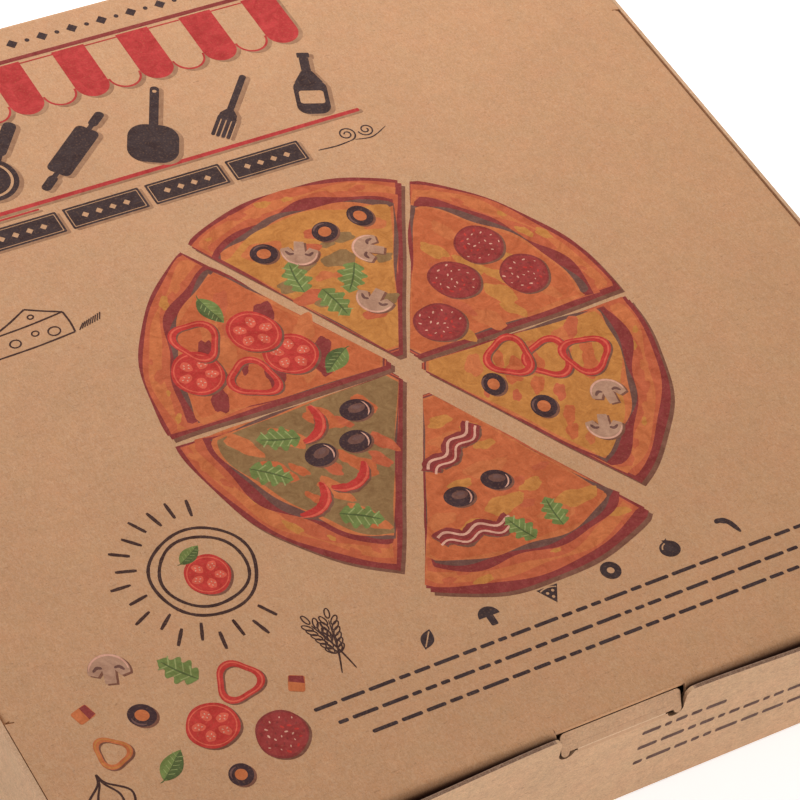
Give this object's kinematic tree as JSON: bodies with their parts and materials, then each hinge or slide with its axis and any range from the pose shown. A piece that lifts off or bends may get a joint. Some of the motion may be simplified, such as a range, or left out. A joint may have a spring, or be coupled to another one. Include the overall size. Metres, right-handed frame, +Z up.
{
  "type": "pizza box",
  "caption": "Closed corrugated kraft pizza box with a hinged lid, tuck flaps, glued corner ears and a push-in lock tab in the front wall.",
  "frame": {"origin": "on the surface the box stands on, below the middle of its bounding box", "axes": "+Z up, -Y towards the front wall with the lock tab, +Y towards the lid's rear fold, +X to the right seen from the front"},
  "size_m": [0.31, 0.312, 0.044],
  "materials": {
    "kraft_board": "matt kraft liner",
    "kraft_lid": "matt kraft liner, printed",
    "kraft_tab": "matt kraft liner"
  },
  "bodies": {
    "tray": {"tray": "kraft_board"},
    "lid": {"lid": "kraft_lid"},
    "lock_tab": {"lock_tab": "kraft_tab"}
  },
  "joints": [
    {"name": "lid_fold", "type": "hinge", "parent": "tray", "child": "lid", "pos_m": [0, 0.15541, 0.04341], "axis": [-1, 0, 0], "range_deg": [0, 180]},
    {"name": "tab_fold", "type": "hinge", "parent": "tray", "child": "lock_tab", "pos_m": [0, -0.1534, 0.0368], "axis": [1, 0, 0], "range_deg": [0, 85]}
  ]
}
